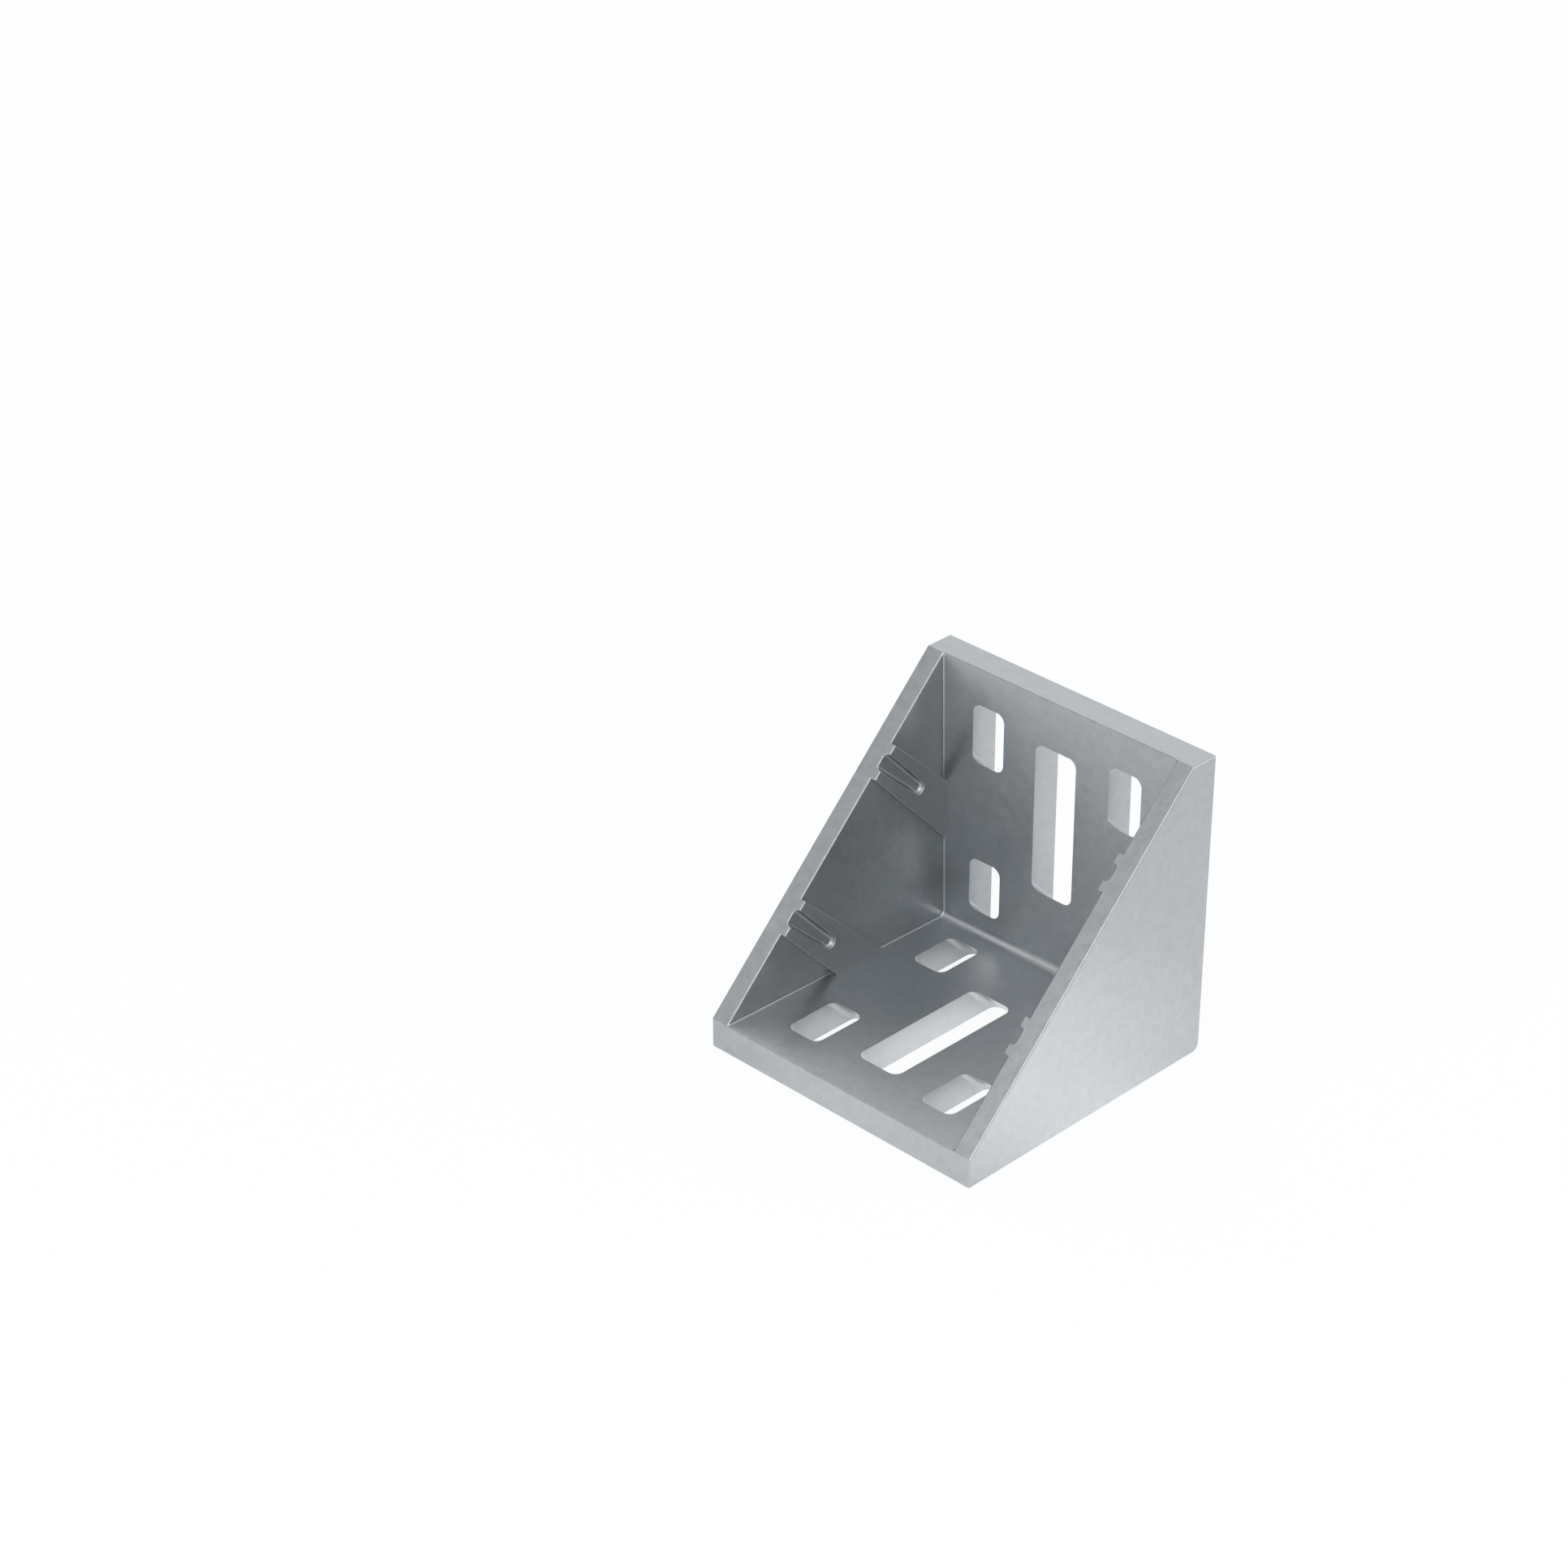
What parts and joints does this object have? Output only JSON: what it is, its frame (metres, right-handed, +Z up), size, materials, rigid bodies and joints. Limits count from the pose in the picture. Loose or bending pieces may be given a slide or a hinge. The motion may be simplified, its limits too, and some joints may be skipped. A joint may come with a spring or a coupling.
{
  "type": "slotted profile corner bracket",
  "caption": "Cast aluminium corner bracket for slotted profiles: two slotted legs at a right angle with a sloping cheek on each side.",
  "frame": {"origin": "middle of the underside's outline, on the face that rests on the lower profile", "axes": "+X across the width, to the right seen from the free edge of the base; +Y from that edge towards the standing leg; +Z up"},
  "size_m": [0.0776, 0.075, 0.075],
  "materials": {
    "aluminium": "satin"
  },
  "bodies": {
    "root": {"bracket": "aluminium"}
  },
  "joints": []
}
